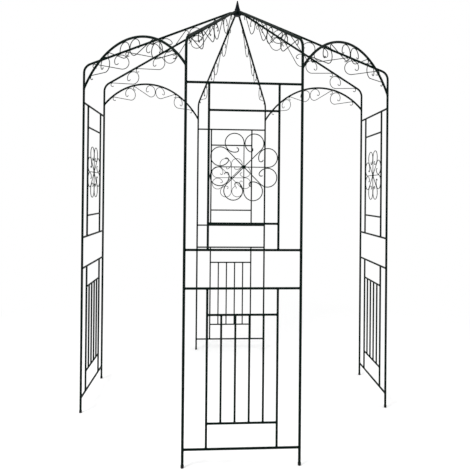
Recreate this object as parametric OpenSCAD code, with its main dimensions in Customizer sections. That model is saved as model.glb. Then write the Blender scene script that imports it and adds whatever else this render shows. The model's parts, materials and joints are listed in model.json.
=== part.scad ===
// Octagonal garden pavilion of welded steel tube, open on four diagonal sides.
// Four narrow trellis sides each stand between two posts. Each post carries a roof
// rib that bends inward and rises to a central hub with a spike. A round arch spans
// each doorway between two sides. Wire scrolls hang under every arch and rib.
// Millimetres, +Z up, origin on the ground at the middle. The front faces -Y.

/* [Plan] */
// Spacing of the two posts of one side, centre to centre
side_w = 550; // [480:10:640]
// Distance from the middle to the plane of each side
side_dist = 900; // [820:10:1100]

/* [Heights] */
// Top of the posts, where the roof ribs plug in
post_h = 1840; // [1700:10:2100]
// From the posts' tops up to the ends of the arches, on centre lines
spring_rise = 40; // [25:1:60]
// Rise of each arch above its ends
arch_rise = 207; // [185:1:240]
// From the posts' tops up to the eaves corner, where the bend's straight parts would cross
eaves_rise = 170; // [150:5:200]
// From the eaves corner up to the ribs' short flat ends at the hub
hub_rise = 430; // [380:5:480]

/* [Tube and wire] */
// Outer diameter of the posts, roof ribs and arches
post_d = 13; // [12:0.1:13.4]
// Wall of the posts' tube at the plug sockets
tube_wall = 1.2; // [1:0.1:1.6]
// Diameter of the rails that span from post to post
rail_d = 11.5; // [11.1:0.1:12]
// Diameter of the inner uprights
upright_d = 11; // [10.6:0.1:11]
// Diameter of the short cross bars
cross_d = 10.5; // [10.1:0.1:10.5]
// Diameter of the balusters
baluster_d = 10; // [8.5:0.1:10]
// Diameter of the scroll wire
wire_d = 4.5; // [3.5:0.1:5]
// Room left at each weld
weld_gap = 0.2; // [0.1:0.05:0.3]

/* [Plug joints] */
// Length of the rib's plug in the post
plug_len = 40; // [20:2:60]
// Room round the plug
plug_play = 0.2; // [0.1:0.05:0.4]
// Room under the plug's end
plug_room = 1; // [0.5:0.5:5]
// Height of the foot caps
cap_h = 14; // [10:1:30]
// Wall of the foot caps
cap_wall = 1.2; // [1:0.1:1.8]
// Thickness of the foot caps' floor
cap_floor = 3; // [2.5:0.5:5]
// Rounding of the foot caps' lower edge
cap_edge = 3.5; // [1:0.5:3.5]
// Room between foot cap and post
cap_play = 0.1; // [0.05:0.05:0.3]

/* [Trellis sides] */
// Level of the lowest rail
low_rail_z = 85; // [60:5:120]
// Level of the rail above the balusters
waist_rail_z = 835; // [800:5:880]
// Level of the rail below the rosette
chest_rail_z = 1015; // [960:5:1060]
// From the top rail up to the posts' tops
top_rail_drop = 40; // [30:1:80]
// Distance of each inner upright from the middle of the side
upright_x = 166; // [150:1:190]
// From the lowest rail up to the cross bar under the balusters
low_cross_rise = 119; // [60:1:180]
// From the cross bar over the balusters up to the waist rail
waist_cross_drop = 124; // [60:1:180]
// From the chest rail up to the cross bar under the rosette
chest_cross_rise = 124; // [60:1:160]
// From the cross bar over the rosette up to the top rail
top_cross_drop = 129; // [60:1:160]
// Balusters in one side
balusters = 4; // [2:1:6]

/* [Rosettes] */
// Loops round one rosette
petals = 8; // [6:2:10]
// Turn of each rosette loop before its end curl, in degrees
petal_turn = 285; // [260:5:300]
// Diameter of the boss in the middle
boss_d = 18; // [16:1:26]
// Thickness of the boss
boss_t = 7; // [5.5:0.5:10]
// How far each spoke reaches into the boss
spoke_sink = 2.5; // [1:0.1:3]

/* [Scrolls] */
// Bend radius of the big loops, to the wire's centre
loop_r = 42; // [36:1:46]
// Turn of the big loops before their end curl, in degrees
loop_turn = 290; // [270:5:300]
// Bend radius of the end curls
curl_r = 10; // [7:0.5:13]
// Turn of the end curls, in degrees
curl_turn = 160; // [120:5:190]
// Bend radius of the small hooks
hook_r = 12; // [9:0.5:14]
// Turn of the small hooks, in degrees
hook_turn = 230; // [180:5:260]
// From loop centre to hook centre in a scroll under an arch
arch_reach = 144; // [130:1:150]
// From loop centre to hook centre in a scroll under a roof rib
rib_reach = 158; // [145:1:164]
// Room between one scroll's hook and the next scroll's loop
scroll_gap = 2; // [1:0.5:5]
// From the end of the eaves bend along the rib to its first hook's centre
rib_scroll_start = 20; // [0:1:60]

/* [Roof] */
// Bend radius of the ribs at the eaves
eaves_r = 60; // [50:1:76]
// Distance from the middle at which the ribs level out
flat_start = 46; // [44:1:60]
// Bend radius of the ribs near the hub
flat_r = 30; // [20:1:40]
// Diameter of the hub
hub_d = 46; // [45:0.5:52]
// Height of the hub
hub_h = 30; // [24:1:40]
// Chamfer of the hub's lower edge
hub_chamfer = 4; // [1:0.5:6]
// Diameter of the finial's collar
collar_d = 35; // [30:1:42]
// Height of the finial's collar
collar_h = 16; // [10:1:20]
// Rounding of the collar's edges
collar_edge = 2; // [1:0.5:3]
// Diameter of the spike at its foot
spike_foot_d = 30; // [20:1:31]
// Diameter of the spike's round tip
spike_tip_d = 8; // [4:0.5:12]
// Height of the spike above the collar
spike_h = 53; // [40:1:90]

/* [Hidden] */
post_r = post_d / 2;
wire_r = wire_d / 2;
post_x = side_w / 2;
spring_z = post_h + spring_rise;
eaves_z = post_h + eaves_rise;
hub_z = eaves_z + hub_rise;
top_rail_z = post_h - top_rail_drop;
low_cross_z = low_rail_z + low_cross_rise;
waist_cross_z = waist_rail_z - waist_cross_drop;
chest_cross_z = chest_rail_z + chest_cross_rise;
top_cross_z = top_rail_z - top_cross_drop;

// Plan radius of the posts, and half the angle between a side's two posts
post_ring_r = norm([post_x, side_dist]);
side_half_angle = atan2(post_x, side_dist);

// Arches, each in a vertical plane across a corner of the plan
arch_dist = (side_dist + post_x) / sqrt(2);
arch_half = (side_dist - post_x) / sqrt(2);
arch_r = (arch_half * arch_half + arch_rise * arch_rise) / (2 * arch_rise);
arch_centre_z = spring_z + arch_rise - arch_r;
arch_angle = asin(arch_half / arch_r);

// Roof ribs
rib_slope = atan2(hub_z - eaves_z, post_ring_r - flat_start);
rib_length = norm([hub_z - eaves_z, post_ring_r - flat_start]);
eaves_turn = 90 - rib_slope;
eaves_t = eaves_r * tan(eaves_turn / 2);
flat_t = flat_r * tan(rib_slope / 2);
hub_r = hub_d / 2;
// Half the angle that a rib has to itself at the hub, between its two neighbours
mitre_angle = min(side_half_angle, 45 - side_half_angle);
socket_d = post_d - 2 * tube_wall;
cap_bore = post_d + 2 * cap_play;
cap_d = cap_bore + 2 * cap_wall;

// Rosette: it fills the field inside uprights and cross bars, to the nearer of the two.
// Each loop's far side touches the next spoke.
petal_step = 360 / petals;
boss_r = boss_d / 2;
spoke_start = boss_r - spoke_sink;
rosette_z = (top_cross_z + chest_cross_z) / 2;
field_half_w = upright_x - upright_d / 2;
field_half_h = (top_cross_z - chest_cross_z - cross_d) / 2;
rosette_reach = min(field_half_w, field_half_h) - weld_gap - wire_r;
petal_r = (rosette_reach - (wire_d + weld_gap) / sin(petal_step))
    / ((1 + cos(petal_step)) / sin(petal_step) + 1);
spoke_len = rosette_reach - petal_r;

// Scrolls hang with loop and hook tops one weld gap below the tube that carries them
hang = post_r + weld_gap + wire_r;
next_dist = loop_r + hook_r + wire_d + scroll_gap;
twin_half = loop_r + wire_r + weld_gap / 2;

// Circles that hang inside the arch, with their tops at the scrolls' level
hang_r = arch_r - hang;
function arch_sep(a, b, apart) =
    acos((pow(hang_r - a, 2) + pow(hang_r - b, 2) - apart * apart) / (2 * (hang_r - a) * (hang_r - b)));
function arch_point(r, angle) = [-(hang_r - r) * sin(angle), (hang_r - r) * cos(angle)];
arch_loop_in = asin(twin_half / (hang_r - loop_r));
arch_hook_in = arch_loop_in + arch_sep(loop_r, hook_r, arch_reach);
arch_loop_out = arch_hook_in + arch_sep(loop_r, hook_r, next_dist);
arch_hook_out = arch_loop_out + arch_sep(loop_r, hook_r, arch_reach);

// Circles that hang under a rib, by their distance along it from the middle of the row
function rib_sep(a, b, apart) = sqrt(apart * apart - (a - b) * (a - b));
function rib_point(r, along) = [along, -hang - r];
rib_loop_in = twin_half;
rib_hook_in = rib_loop_in + rib_sep(loop_r, hook_r, rib_reach);
rib_loop_out = rib_hook_in + rib_sep(loop_r, hook_r, next_dist);
rib_hook_out = rib_loop_out + rib_sep(loop_r, hook_r, rib_reach);
rib_scroll_mid = eaves_t + rib_scroll_start + rib_hook_out;

// Every other step of a bent rod is thickened by the seam, and its neighbours lap into it
seam = 0.06;
lap = 0.4;
// How far a cutter runs past the face that it opens
over = 1;

$fn = 48;
wire_fn = 24;
tube_fn = 48;
arch_fn = 96;
paint = "#0d1714";
wire_paint = "#16211d";
cap_black = "#111111";

SIDES = ["front", "right", "back", "left"];
CORNERS = ["front_right", "back_right", "back_left", "front_left"];
ENDS = [["left", "right"], ["front", "back"], ["right", "left"], ["back", "front"]];
function post_name(k, e) = str(SIDES[k], "_post_", ENDS[k][e]);
function rib_name(k, e) = str(SIDES[k], "_rib_", ENDS[k][e]);
function rib_scrolls_name(k) = str(SIDES[k], "_rib_scrolls");
function upper_name(k) = str(SIDES[k], "_upper_trellis");
function lower_name(k) = str(SIDES[k], "_lower_trellis");
function rosette_name(k) = str(SIDES[k], "_rosette");
function arch_name(k) = str(CORNERS[k], "_arch");
function arch_scrolls_name(k) = str(CORNERS[k], "_arch_scrolls");

// ---- Places ----

// Stands a shape drawn on the XY plane upright, so that its Y points up
module upright_plane() { rotate([90, 0, 0]) children(); }

// A side's own upright plane: X along the side, Y up
module on_side(k) {
    rotate([0, 0, 90 * k]) translate([0, -side_dist, 0]) upright_plane() children();
}

// A doorway's own upright plane, centred on the arch circle
module on_doorway(k) {
    rotate([0, 0, 90 * k + 45]) translate([0, -arch_dist, arch_centre_z]) upright_plane() children();
}

// Axis of one post: end 0 is the left one of a side seen from outside, end 1 the right one
module at_post(k, e) {
    rotate([0, 0, 90 * k]) translate([(2 * e - 1) * post_x, -side_dist, 0]) children();
}

// A roof rib's own upright plane: X from the post toward the middle, Y up
module on_rib(k, e) {
    rotate([0, 0, 90 * k + (2 * e - 1) * side_half_angle]) translate([0, -post_ring_r, 0])
        rotate([0, 0, 90]) upright_plane() children();
}

// ---- Bent rod and wire ----

// A rod laid along a chain of steps from the origin, heading along +X.
// A step [length] runs straight. A step [radius, angle] bends left, or right below zero.
// Steps are plain and full by turns: a full one is thicker by the seam, and its plain
// neighbours lap into it, so that the rod is one solid.
module bent_rod(d, steps, full = false, fn = wire_fn, i = 0) {
    if (i < len(steps)) {
        step = steps[i];
        step_d = full ? d + seam : d;
        step_lap = full ? 0 : lap;
        if (len(step) == 1) {
            translate([-step_lap, 0, 0]) rotate([0, 90, 0])
                cylinder(d = step_d, h = step[0] + 2 * step_lap, $fn = fn);
            translate([step[0], 0, 0]) bent_rod(d, steps, !full, fn, i + 1);
        } else {
            side = sign(step[1]);
            lap_angle = step_lap / step[0] * 180 / PI;
            translate([0, side * step[0], 0]) {
                rotate([0, 0, (side > 0 ? -90 : 90 + step[1]) - lap_angle])
                    rotate_extrude(angle = abs(step[1]) + 2 * lap_angle)
                        translate([step[0], 0]) circle(d = step_d, $fn = fn);
                rotate([0, 0, step[1]]) translate([0, -side * step[0], 0])
                    bent_rod(d, steps, !full, fn, i + 1);
            }
        }
    }
}

// An S-scroll: a small hook, a straight run and a big loop that curls in at its end.
// It is drawn from the centres of hook and loop, with the loop on the run's left.
module s_scroll(hook_at, loop_at) {
    apart = norm(loop_at - hook_at);
    lean = asin((loop_r + hook_r) / apart);
    run = sqrt(apart * apart - (loop_r + hook_r) * (loop_r + hook_r));
    heading = atan2(loop_at[1] - hook_at[1], loop_at[0] - hook_at[0]) - lean;
    translate(hook_at) rotate([0, 0, heading + hook_turn]) translate([0, hook_r, 0])
        bent_rod(wire_d, [[hook_r, -hook_turn], [run], [loop_r, loop_turn], [curl_r, curl_turn]], true);
}

// ---- Posts and feet ----

module post(k, e) {
    color(paint) at_post(k, e) difference() {
        translate([0, 0, cap_floor]) cylinder(d = post_d, h = post_h - cap_floor);
        translate([0, 0, post_h - plug_len - plug_room])
            cylinder(d = socket_d, h = plug_len + plug_room + over);
    }
}

module foot_cap() {
    difference() {
        rotate_extrude() {
            square([cap_d / 2 - cap_edge, cap_h]);
            translate([0, cap_edge]) square([cap_d / 2, cap_h - cap_edge]);
            translate([cap_d / 2 - cap_edge, cap_edge]) circle(r = cap_edge);
        }
        translate([0, 0, cap_floor]) cylinder(d = cap_bore, h = cap_h);
    }
}

module foot_caps() {
    color(cap_black) for (k = [0:3], e = [0:1]) at_post(k, e) foot_cap();
}

// ---- Trellis sides ----

// A level bar in a side's plane, reaching the given distance to both sides of the middle
module level_bar(z, reach, d) {
    translate([-reach, z, 0]) rotate([0, 90, 0]) cylinder(d = d, h = 2 * reach);
}

// An upright bar in a side's plane, from one level up to another
module standing_bar(x, from_z, to_z, d) {
    translate([x, from_z, 0]) rotate([-90, 0, 0]) cylinder(d = d, h = to_z - from_z);
}

// Takes the posts' round outsides, with a weld gap, out of the rails' ends
module coped_to_posts() {
    difference() {
        children();
        for (x = [-post_x, post_x])
            standing_bar(x, 0, post_h, post_d + 2 * weld_gap);
    }
}

// Two rails, two inner uprights between them and two cross bars between the uprights
module trellis_frame(rail_zs, cross_zs) {
    for (z = rail_zs) level_bar(z, post_x, rail_d);
    for (x = [-upright_x, upright_x]) standing_bar(x, rail_zs[0], rail_zs[1], upright_d);
    for (z = cross_zs) level_bar(z, upright_x, cross_d);
}

module upper_trellis(k) {
    color(paint) on_side(k) coped_to_posts()
        trellis_frame([chest_rail_z, top_rail_z], [chest_cross_z, top_cross_z]);
}

module lower_trellis(k) {
    pitch = 2 * upright_x / (balusters + 1);
    color(paint) on_side(k) coped_to_posts() {
        trellis_frame([low_rail_z, waist_rail_z], [low_cross_z, waist_cross_z]);
        for (i = [1:balusters])
            standing_bar(i * pitch - upright_x, low_cross_z, waist_cross_z, baluster_d);
    }
}

// ---- Rosettes ----

module rosette(k) {
    color(wire_paint) on_side(k) translate([0, rosette_z, 0]) {
        translate([0, 0, -boss_t / 2]) cylinder(r = boss_r, h = boss_t);
        for (i = [0:petals - 1])
            rotate([0, 0, i * petal_step]) translate([spoke_start, 0, 0])
                bent_rod(wire_d, [[spoke_len - spoke_start], [petal_r, petal_turn], [curl_r, curl_turn]]);
    }
}

// ---- Arches and their scrolls ----

module arch(k) {
    color(paint) difference() {
        on_doorway(k) rotate([0, 0, 90 - arch_angle]) rotate_extrude(angle = 2 * arch_angle, $fn = arch_fn)
            translate([arch_r, 0]) circle(d = post_d, $fn = tube_fn);
        for (e = [0, 1])
            at_post((k + e) % 4, 1 - e) translate([0, 0, post_h - eaves_rise])
                cylinder(d = post_d + 2 * weld_gap, h = 2 * eaves_rise);
    }
}

module arch_scrolls(k) {
    color(wire_paint) on_doorway(k) for (m = [0, 1]) mirror([m, 0, 0]) {
        s_scroll(arch_point(hook_r, arch_hook_in), arch_point(loop_r, arch_loop_in));
        s_scroll(arch_point(hook_r, arch_hook_out), arch_point(loop_r, arch_loop_out));
    }
}

// ---- Roof ribs and their scrolls ----

// A rib stands in its post with a plug, bends inward at the eaves and levels out at the hub.
// Its end is coped to the hub, and mitred where a thick tube would meet its neighbours.
module rib(k, e) {
    plug_d = socket_d - 2 * plug_play;
    color(paint) on_rib(k, e) difference() {
        union() {
            standing_bar(0, post_h - plug_len, post_h + plug_len, plug_d);
            translate([0, post_h, 0]) rotate([0, 0, 90]) bent_rod(post_d, [
                [eaves_rise - eaves_t],
                [eaves_r, -eaves_turn],
                [rib_length - eaves_t - flat_t],
                [flat_r, -rib_slope],
                [flat_start - flat_t]], true, tube_fn);
        }
        standing_bar(post_ring_r, hub_z - post_d, hub_z + post_d, hub_d + 2 * weld_gap);
        for (m = [0, 1]) mirror([0, 0, m]) translate([post_ring_r, hub_z, 0])
            rotate([0, mitre_angle, 0]) translate([-hub_d, -post_d, weld_gap / 2])
                cube([hub_d, 2 * post_d, post_d]);
    }
}

module rib_scrolls(k) {
    color(wire_paint) for (e = [0, 1]) on_rib(k, e)
        translate([0, eaves_z, 0]) rotate([0, 0, rib_slope]) translate([rib_scroll_mid, 0, 0])
            for (m = [0, 1]) mirror([m, 0, 0]) {
                s_scroll(rib_point(hook_r, -rib_hook_in), rib_point(loop_r, -rib_loop_in));
                s_scroll(rib_point(hook_r, -rib_hook_out), rib_point(loop_r, -rib_loop_out));
            }
}

// ---- Hub and finial ----

module roof_hub() {
    color(paint) translate([0, 0, hub_z - hub_h / 2]) {
        cylinder(r1 = hub_r - hub_chamfer, r2 = hub_r, h = hub_chamfer);
        translate([0, 0, hub_chamfer]) cylinder(r = hub_r, h = hub_h - hub_chamfer);
    }
}

module finial() {
    tip_r = spike_tip_d / 2;
    color(paint) translate([0, 0, hub_z + hub_h / 2]) {
        rotate_extrude() {
            square([collar_d / 2 - collar_edge, collar_h]);
            translate([0, collar_edge]) square([collar_d / 2, collar_h - 2 * collar_edge]);
            for (y = [collar_edge, collar_h - collar_edge])
                translate([collar_d / 2 - collar_edge, y]) circle(r = collar_edge);
        }
        translate([0, 0, collar_h]) cylinder(d1 = spike_foot_d, d2 = spike_tip_d, h = spike_h - tip_r);
        translate([0, 0, collar_h + spike_h - tip_r]) sphere(r = tip_r);
    }
}

for (k = [0:3]) {
    for (e = [0:1]) {
        post(k, e);
        rib(k, e);
    }
    rib_scrolls(k);
    upper_trellis(k);
    lower_trellis(k);
    rosette(k);
    arch(k);
    arch_scrolls(k);
}
foot_caps();
roof_hub();
finial();
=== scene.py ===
"""Garden pavilion of powder-coated steel tube: finishes, weld beads, tack welds, stage and camera."""
import json
import math
import random

import bmesh
import bpy
from mathutils import Matrix, Vector
from mathutils.bvhtree import BVHTree


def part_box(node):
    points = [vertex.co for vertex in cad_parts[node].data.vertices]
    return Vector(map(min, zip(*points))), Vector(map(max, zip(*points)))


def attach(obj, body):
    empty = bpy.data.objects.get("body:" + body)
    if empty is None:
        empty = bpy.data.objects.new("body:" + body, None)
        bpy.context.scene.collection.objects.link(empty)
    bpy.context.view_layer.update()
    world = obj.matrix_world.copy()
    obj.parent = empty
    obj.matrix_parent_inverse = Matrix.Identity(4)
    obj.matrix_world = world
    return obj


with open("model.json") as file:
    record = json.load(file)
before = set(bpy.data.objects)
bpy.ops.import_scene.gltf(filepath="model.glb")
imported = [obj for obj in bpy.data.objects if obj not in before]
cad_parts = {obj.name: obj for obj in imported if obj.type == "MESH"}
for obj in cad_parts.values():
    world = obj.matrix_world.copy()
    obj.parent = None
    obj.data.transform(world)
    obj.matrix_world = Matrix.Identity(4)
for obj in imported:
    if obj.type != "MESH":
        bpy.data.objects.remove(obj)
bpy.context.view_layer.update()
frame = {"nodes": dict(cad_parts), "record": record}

MM = 0.001
SIDES = ("front", "right", "back", "left")
CORNERS = ("front_right", "back_right", "back_left", "front_left")
ENDS = (("left", "right"), ("front", "back"), ("right", "left"), ("back", "front"))

# ---------------------------------------------------------------- sizes

# The posts, and the plane of each side
POST_LOW, POST_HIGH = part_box("front_post_right")
POST_R = (POST_HIGH.x - POST_LOW.x) / 2
POST_X = (POST_HIGH.x + POST_LOW.x) / 2
SIDE_DIST = -(POST_HIGH.y + POST_LOW.y) / 2
POST_TOP = POST_HIGH.z

# Radii of the trellis bars, the scroll wire and the weld beads
RAIL_R = 5.75 * MM
UPRIGHT_R = 5.5 * MM
CROSS_R = 5.25 * MM
BALUSTER_R = 5 * MM
WIRE_R = 2.25 * MM
BEAD_R = 1.4 * MM

# The inner uprights' distance from the middle of a side, and what repeats
UPRIGHT_X = 166 * MM
BALUSTERS = 4
PETALS = 8

# Levels of the four rails, and of the cross bar inside each
UPPER_LOW, UPPER_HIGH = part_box("front_upper_trellis")
LOWER_LOW, LOWER_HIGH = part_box("front_lower_trellis")
TOP_RAIL = UPPER_HIGH.z - RAIL_R
CHEST_RAIL = UPPER_LOW.z + RAIL_R
WAIST_RAIL = LOWER_HIGH.z - RAIL_R
LOW_RAIL = LOWER_LOW.z + RAIL_R
TOP_CROSS = TOP_RAIL - 129 * MM
CHEST_CROSS = CHEST_RAIL + 124 * MM
WAIST_CROSS = WAIST_RAIL - 124 * MM
LOW_CROSS = LOW_RAIL + 119 * MM

# The hub, how far out the ribs' level ends reach from its middle, the arches' ends and crowns, and
# the eaves corners
HUB_LOW, HUB_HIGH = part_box("roof_hub")
HUB_R = HUB_HIGH.x
HUB_Z = (HUB_LOW.z + HUB_HIGH.z) / 2
LEVEL_REACH = 46 * MM
SPRING_Z = POST_TOP + 40 * MM
EAVES_Z = POST_TOP + 170 * MM
ARCH_DIST = (SIDE_DIST + POST_X) / math.sqrt(2)
ARCH_HALF = (SIDE_DIST - POST_X) / math.sqrt(2)
CROWN_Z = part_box("front_right_arch")[1].z - POST_R
ARCH_RISE = CROWN_Z - SPRING_Z
ARCH_ANGLE = 2 * math.atan(ARCH_RISE / ARCH_HALF)
RIB_SLOPE = math.atan2(HUB_Z - EAVES_Z, math.hypot(POST_X, SIDE_DIST) - LEVEL_REACH)

# Scrolls: their loops, and how far the top of the wire's centre line is below a tube's axis.
# Twin loops meet at the middle of a row: on a rib that far along from its eaves corner, and
# on an arch under the crown, where the arch's bend lowers the loops a little.
LOOP_R = 42 * MM
WELD_GAP = 0.2 * MM
HANG = POST_R + WIRE_R + WELD_GAP
RIB_TWIN_ALONG = 464.9 * MM
RIB_TWIN_DROP = HANG + LOOP_R
ARCH_LOWERING = 1.9 * MM
ARCH_TWIN_DROP = HANG + LOOP_R + ARCH_LOWERING

# Rosettes: the middle, and how far along a spoke its neighbour's loop touches it
ROSETTE_LOW, ROSETTE_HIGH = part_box("front_rosette")
ROSETTE_Z = (ROSETTE_LOW.z + ROSETTE_HIGH.z) / 2
PETAL_TOUCH = (ROSETTE_HIGH.x - WIRE_R) * math.cos(2 * math.pi / PETALS)

# Radii of the tack welds
ROSETTE_TACK = 2.6 * MM
SCROLL_TACK = 1.9 * MM
TWIN_TACK = 1.6 * MM
PETAL_TACK = 1.5 * MM


# ---------------------------------------------------------------- materials

def linear(code):
    """A colour in sRGB hex as Blender's linear RGBA."""
    parts = [int(code[i:i + 2], 16) / 255 for i in (1, 3, 5)]
    return [p / 12.92 if p <= 0.04045 else ((p + 0.055) / 1.055) ** 2.4 for p in parts] + [1.0]


def node(tree, kind, settings=None, **inputs):
    """Adds a node, sets its properties, and sets or links its inputs.

    An input is given by its name, with _ for each space, or as _6 by its number.
    """
    new = tree.nodes.new(kind)
    for key, value in (settings or {}).items():
        setattr(new, key, value)
    for name, value in inputs.items():
        key = int(name[1:]) if name[0] == "_" else name.replace("_", " ")
        if isinstance(value, bpy.types.NodeSocket):
            tree.links.new(value, new.inputs[key])
        else:
            new.inputs[key].default_value = value
    return new


def material(name):
    """An empty node material and its tree."""
    made = bpy.data.materials.new(name)
    made.use_nodes = True
    made.node_tree.nodes.clear()
    return made, made.node_tree


# A Mix node's colour comes out of this socket
COLOUR_OUT = 2


def powder_coat(name, thin, thick, roughness, peel):
    """Powder-coated steel: baked polyester paint, near black with a green cast.

    Sprayed as dust and melted on, it runs into a faint orange peel, `peel` mm across,
    so highlights are soft and broken. The film is even, slightly paler where it lies
    thick, in patches about 35 mm across, and shines a little more or less from patch
    to patch.
    """
    made, tree = material(name)
    place = node(tree, "ShaderNodeTexCoord").outputs["Object"]
    patches = node(tree, "ShaderNodeTexNoise", Vector=place, Scale=1 / (35 * MM), Detail=3.0)
    film = node(tree, "ShaderNodeMix", {"data_type": "RGBA"}, Factor=patches.outputs["Fac"],
                _6=linear(thin), _7=linear(thick))
    gloss = node(tree, "ShaderNodeMapRange", Value=patches.outputs["Fac"], From_Min=0.3, From_Max=0.7,
                 To_Min=roughness - 0.06, To_Max=roughness + 0.06)
    skin = node(tree, "ShaderNodeTexVoronoi", {"feature": "SMOOTH_F1"}, Vector=place,
                Scale=1 / (peel * MM), Smoothness=1.0)
    bump = node(tree, "ShaderNodeBump", Height=skin.outputs["Distance"], Strength=0.25, Distance=0.15 * MM)
    coat = node(tree, "ShaderNodeBsdfPrincipled", Base_Color=film.outputs[COLOUR_OUT],
                Roughness=gloss.outputs["Result"], Normal=bump.outputs["Normal"])
    coat.inputs["IOR"].default_value = 1.5
    coat.inputs["Specular IOR Level"].default_value = 0.05
    node(tree, "ShaderNodeOutputMaterial", Surface=coat.outputs["BSDF"])
    return made


def moulded_cap(name):
    """Soft black PVC, moulded: dull, faintly grained by the mould, 0.8 mm from grain to grain."""
    made, tree = material(name)
    place = node(tree, "ShaderNodeTexCoord").outputs["Object"]
    grain = node(tree, "ShaderNodeTexNoise", Vector=place, Scale=1 / (0.8 * MM), Detail=2.0)
    tone = node(tree, "ShaderNodeMix", {"data_type": "RGBA"}, Factor=grain.outputs["Fac"],
                _6=linear("#040505"), _7=linear("#090a0a"))
    bump = node(tree, "ShaderNodeBump", Height=grain.outputs["Fac"], Strength=0.2, Distance=0.1 * MM)
    pvc = node(tree, "ShaderNodeBsdfPrincipled", Base_Color=tone.outputs[COLOUR_OUT],
               Normal=bump.outputs["Normal"])
    pvc.inputs["Roughness"].default_value = 0.6
    pvc.inputs["Specular IOR Level"].default_value = 0.15
    pvc.inputs["IOR"].default_value = 1.54
    node(tree, "ShaderNodeOutputMaterial", Surface=pvc.outputs["BSDF"])
    return made


# The finish of each material slot in the record. The wire's film is thinner than the tubes',
# with a finer peel, and the cast hub and spike have a colder black and a coarser one.
FINISHES = {
    "tube": powder_coat("powder_coated_tube", "#000906", "#02120d", 0.5, 2.2),
    "trellis": powder_coat("powder_coated_bar", "#000906", "#02120d", 0.5, 2.0),
    "wire": powder_coat("powder_coated_wire", "#010a07", "#03140f", 0.5, 1.4),
    "casting": powder_coat("powder_coated_casting", "#03070b", "#060d13", 0.48, 2.6),
    "caps": moulded_cap("moulded_pvc"),
}
SLOT_OF = {part["node"]: part["material_slot"] for part in frame["record"]["subparts"]}
for name, part in frame["nodes"].items():
    for slot in part.material_slots:
        slot.material = FINISHES[SLOT_OF[name]]


# ---------------------------------------------------------------- welds

rng = random.Random(11)
# Ripples round one bead, and their depth as a share of the bead's radius
RIPPLES = 11
RIPPLE_DEPTH = 0.14


def finished(name, bm, slot):
    """Turns a bmesh into a smooth-shaded piece that rides on the frame."""
    bmesh.ops.recalc_face_normals(bm, faces=bm.faces)
    for face in bm.faces:
        face.smooth = True
    mesh = bpy.data.meshes.new(name)
    bm.to_mesh(mesh)
    bm.free()
    mesh.materials.append(FINISHES[slot])
    piece = bpy.data.objects.new(name, mesh)
    bpy.context.collection.objects.link(piece)
    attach(piece, "root")
    return piece


def weld_bead(bm, at, bar, carrier, bar_r, carrier_r):
    """A rippled bead round a bar's end, where it meets a round carrier whose axis passes `at`.

    `bar` and `carrier` are the two axes' directions. A ring is spun round the bar, and each
    of its points then moves along the bar on to the carrier's surface.
    """
    known = len(bm.verts)
    upright = Matrix.Translation((bar_r, 0, 0)) @ Matrix.Rotation(math.pi / 2, 4, "X")
    section = bmesh.ops.create_circle(bm, segments=8, radius=BEAD_R, matrix=upright)["verts"]
    edges = list({edge for vert in section for edge in vert.link_edges})
    bmesh.ops.spin(bm, geom=section + edges, cent=(0, 0, 0), axis=(0, 0, 1), angle=2 * math.pi,
                   steps=24, use_merge=True)
    bar = bar.normalized()
    carrier = carrier.normalized()
    first = (carrier - bar * carrier.dot(bar)).normalized()
    second = bar.cross(first)
    lean = bar - carrier * bar.dot(carrier)
    start = rng.uniform(0, 2 * math.pi)
    for vert in list(bm.verts)[known:]:
        turn = math.atan2(vert.co.y, vert.co.x)
        out = first * math.cos(turn) + second * math.sin(turn)
        ripple = 1 + RIPPLE_DEPTH * math.sin(RIPPLES * turn + start) + rng.uniform(-0.05, 0.05)
        foot = out * bar_r
        # How far along the bar this line of its surface meets the carrier's, from a quadratic
        flat = foot - carrier * foot.dot(carrier)
        half = flat.dot(lean)
        root = max(0.0, half * half - lean.length_squared * (flat.length_squared - carrier_r ** 2))
        along = (-half + math.sqrt(root)) / lean.length_squared
        proud = math.hypot(vert.co.x, vert.co.y) - bar_r
        vert.co = Vector(at) + foot + out * proud * ripple + bar * (along + vert.co.z * ripple)


def tack(bm, at, size):
    """A small flattened blob of weld metal."""
    blob = bmesh.ops.create_icosphere(bm, subdivisions=2, radius=size)["verts"]
    squash = Matrix.Diagonal([rng.uniform(0.8, 1.2) for _ in range(3)])
    for vert in blob:
        vert.co = squash @ vert.co * rng.uniform(0.95, 1.05) + Vector(at)


def side_turn(k):
    """The turn from the front side to side k."""
    return Matrix.Rotation(k * math.pi / 2, 4, "Z")


def trellis_beads(k):
    """Beads at every bar's end in one trellis side."""
    bm = bmesh.new()
    across, up = Vector((1, 0, 0)), Vector((0, 0, 1))
    for sign in (-1, 1):
        for z in (TOP_RAIL, CHEST_RAIL, WAIST_RAIL, LOW_RAIL):
            weld_bead(bm, (sign * POST_X, -SIDE_DIST, z), across * -sign, up, RAIL_R, POST_R)
        for z, way in ((TOP_RAIL, -1), (CHEST_RAIL, 1), (WAIST_RAIL, -1), (LOW_RAIL, 1)):
            weld_bead(bm, (sign * UPRIGHT_X, -SIDE_DIST, z), up * way, across, UPRIGHT_R, RAIL_R)
        for z in (TOP_CROSS, CHEST_CROSS, WAIST_CROSS, LOW_CROSS):
            weld_bead(bm, (sign * UPRIGHT_X, -SIDE_DIST, z), across * -sign, up, CROSS_R, UPRIGHT_R)
    pitch = 2 * UPRIGHT_X / (BALUSTERS + 1)
    for i in range(BALUSTERS):
        x = (i + 1) * pitch - UPRIGHT_X
        for z, way in ((WAIST_CROSS, -1), (LOW_CROSS, 1)):
            weld_bead(bm, (x, -SIDE_DIST, z), up * way, across, BALUSTER_R, CROSS_R)
    bmesh.ops.transform(bm, matrix=side_turn(k), verts=bm.verts)
    return finished(SIDES[k] + "_trellis_welds", bm, "trellis")


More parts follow.
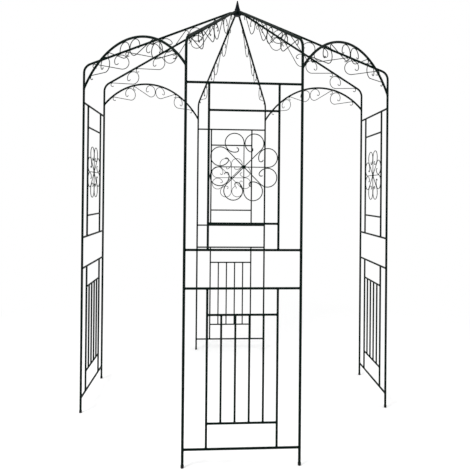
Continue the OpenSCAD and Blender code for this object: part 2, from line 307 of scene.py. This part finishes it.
def surface_tree(name):
    """A search tree over one CAD node's surface."""
    mesh = frame["nodes"][name].data
    return BVHTree.FromPolygons([v.co for v in mesh.vertices], [p.vertices for p in mesh.polygons])


def touches(name, tree, reach=0.5 * MM, apart=9 * MM):
    """Places where a node lies within reach of a surface, one for each contact."""
    near = []
    for vert in frame["nodes"][name].data.vertices:
        place, normal, index, gap = tree.find_nearest(vert.co, reach)
        if place is not None:
            near.append((gap, (vert.co + place) / 2))
    near.sort(key=lambda pair: pair[0])
    found = []
    for gap, place in near:
        if all((place - other).length > apart for other in found):
            found.append(place)
    return found


def tacks(name, pairs, size):
    """Tack welds wherever the first node of each pair touches the second."""
    bm = bmesh.new()
    for wire, carrier in pairs:
        for place in touches(wire, surface_tree(carrier)):
            tack(bm, place, size)
    return finished(name, bm, "wire")


def frame_beads():
    """Beads where the arches end on the ribs and where the ribs end on the hub."""
    bm = bmesh.new()
    up = Vector((0, 0, 1))
    posts = [side_turn(k) @ Vector((sign * POST_X, -SIDE_DIST, SPRING_Z))
             for k in range(4) for sign in (-1, 1)]
    for k in range(4):
        left, right = posts[2 * k + 1], posts[(2 * k + 2) % len(posts)]
        for here, there in ((left, right), (right, left)):
            level = (there - here).normalized()
            weld_bead(bm, here, level * math.cos(ARCH_ANGLE) + up * math.sin(ARCH_ANGLE), up, POST_R, POST_R)
    for post in posts:
        weld_bead(bm, (0, 0, HUB_Z), Vector((post.x, post.y, 0)), up, POST_R, HUB_R)
    return finished("frame_welds", bm, "tube")


def twin_and_petal_tacks():
    """Tacks between twin scroll loops, and where each rosette loop meets the next spoke."""
    bm = bmesh.new()
    for k in range(4):
        crown = Vector((0, -ARCH_DIST, CROWN_Z - ARCH_TWIN_DROP))
        tack(bm, Matrix.Rotation(math.pi / 4, 4, "Z") @ side_turn(k) @ crown, TWIN_TACK)
        for sign in (-1, 1):
            corner = Vector((sign * POST_X, -SIDE_DIST, EAVES_Z))
            inward = -Vector((corner.x, corner.y, 0)).normalized()
            along = inward * math.cos(RIB_SLOPE) + Vector((0, 0, math.sin(RIB_SLOPE)))
            down = inward * math.sin(RIB_SLOPE) - Vector((0, 0, math.cos(RIB_SLOPE)))
            meeting = corner + along * RIB_TWIN_ALONG + down * RIB_TWIN_DROP
            tack(bm, side_turn(k) @ meeting, TWIN_TACK)
        for i in range(PETALS):
            turn = 2 * math.pi * i / PETALS
            place = Matrix.Rotation(-turn, 3, "Y") @ Vector((PETAL_TOUCH, 0, -WIRE_R))
            tack(bm, side_turn(k) @ (Vector((0, -SIDE_DIST, ROSETTE_Z)) + place), PETAL_TACK)
    return finished("wire_tacks", bm, "wire")


for k, side in enumerate(SIDES):
    trellis_beads(k)
    tacks(side + "_rosette_tacks", [(side + "_rosette", side + "_upper_trellis")], ROSETTE_TACK)
    rib_pairs = [(side + "_rib_scrolls", side + "_rib_" + end) for end in ENDS[k]]
    tacks(side + "_rib_tacks", rib_pairs, SCROLL_TACK)
for corner in CORNERS:
    tacks(corner + "_arch_tacks", [(corner + "_arch_scrolls", corner + "_arch")], SCROLL_TACK)
frame_beads()
twin_and_petal_tacks()


# ---------------------------------------------------------------- stage, light and camera

# Metres from the middle: the floor's edge, and where its shadow starts to fade and has gone
FLOOR_HALF = 12
SHADOW_NEAR = 1.6
SHADOW_FAR = 3.2
# Strength of the light from all round
DAYLIGHT = 0.9


def seen_directly(tree):
    """A socket that is 1 for what the camera, reflections and clear materials see."""
    path = node(tree, "ShaderNodeLightPath")
    seen = node(tree, "ShaderNodeMath", {"operation": "MAXIMUM"}, _0=path.outputs["Is Camera Ray"],
                _1=path.outputs["Is Glossy Ray"])
    return node(tree, "ShaderNodeMath", {"operation": "MAXIMUM"}, _0=seen.outputs["Value"],
                _1=path.outputs["Is Transmission Ray"]).outputs["Value"]


def floor_material():
    """Matt white paper: it takes the soft shadow near the object and is plain white beyond it."""
    made, tree = material("white_paper_roll")
    place = node(tree, "ShaderNodeTexCoord").outputs["Object"]
    away = node(tree, "ShaderNodeVectorMath", {"operation": "LENGTH"}, _0=place)
    fade = node(tree, "ShaderNodeMapRange", {"interpolation_type": "SMOOTHSTEP"},
                Value=away.outputs["Value"], From_Min=SHADOW_NEAR, From_Max=SHADOW_FAR)
    blend = node(tree, "ShaderNodeMath", {"operation": "MULTIPLY"}, _0=fade.outputs["Result"],
                 _1=seen_directly(tree))
    paper = node(tree, "ShaderNodeBsdfDiffuse", Color=linear("#f4f4f4"))
    white = node(tree, "ShaderNodeEmission", Color=(1, 1, 1, 1), Strength=1.0)
    mixed = node(tree, "ShaderNodeMixShader", Fac=blend.outputs["Value"], _1=paper.outputs["BSDF"],
                 _2=white.outputs["Emission"])
    node(tree, "ShaderNodeOutputMaterial", Surface=mixed.outputs["Shader"])
    return made


def add_floor():
    """A plain pale floor, far wider than the view."""
    bm = bmesh.new()
    bmesh.ops.create_grid(bm, x_segments=1, y_segments=1, size=FLOOR_HALF)
    mesh = bpy.data.meshes.new("floor")
    bm.to_mesh(mesh)
    bm.free()
    mesh.materials.append(floor_material())
    floor = bpy.data.objects.new("floor", mesh)
    bpy.context.collection.objects.link(floor)


def add_world():
    """Even daylight from all round. What the camera and reflections see of it is white."""
    world = bpy.data.worlds.new("studio")
    bpy.context.scene.world = world
    world.use_nodes = True
    tree = world.node_tree
    tree.nodes.clear()
    level = node(tree, "ShaderNodeMapRange", Value=seen_directly(tree), To_Min=DAYLIGHT, To_Max=1.0)
    sky = node(tree, "ShaderNodeBackground", Color=(1, 1, 1, 1), Strength=level.outputs["Result"])
    node(tree, "ShaderNodeOutputWorld", Surface=sky.outputs["Background"])


def add_lamp(name, at, aim, size, watts):
    """A round soft lamp at a place, turned towards its aim."""
    data = bpy.data.lights.new(name, "AREA")
    data.shape = "DISK"
    data.size = size
    data.energy = watts
    lamp = bpy.data.objects.new(name, data)
    bpy.context.collection.objects.link(lamp)
    lamp.location = at
    lamp.rotation_euler = (Vector(aim) - Vector(at)).to_track_quat("-Z", "Y").to_euler()


def add_camera():
    """Eye level, in front and a little to the left, turned by yaw, pitch and roll."""
    data = bpy.data.cameras.new("camera")
    data.lens = 39.23
    data.shift_x = -0.0251
    data.shift_y = -0.0961
    camera = bpy.data.objects.new("camera", data)
    bpy.context.collection.objects.link(camera)
    place = Vector((-0.1366, -3.3039, 1.2861))
    yaw, pitch, roll = (math.radians(angle) for angle in (3.603, 0.284, 0.517))
    ahead = Vector((math.sin(yaw) * math.cos(pitch), math.cos(yaw) * math.cos(pitch), math.sin(pitch)))
    right = Vector((math.cos(yaw), -math.sin(yaw), 0))
    up = right.cross(ahead)
    turned_right = math.cos(roll) * right + math.sin(roll) * up
    turned_up = math.cos(roll) * up - math.sin(roll) * right
    turned = Matrix((turned_right, turned_up, -ahead)).transposed().to_4x4()
    camera.matrix_world = Matrix.Translation(place) @ turned
    bpy.context.scene.camera = camera


add_floor()
add_world()
add_lamp("key", at=(-3.5, -3.5, 4.5), aim=(0, 0, 1.2), size=2.5, watts=220)
add_lamp("fill", at=(4.0, -2.0, 3.0), aim=(0, 0, 1.2), size=3.0, watts=60)
add_camera()
bpy.context.scene.view_settings.view_transform = "Standard"
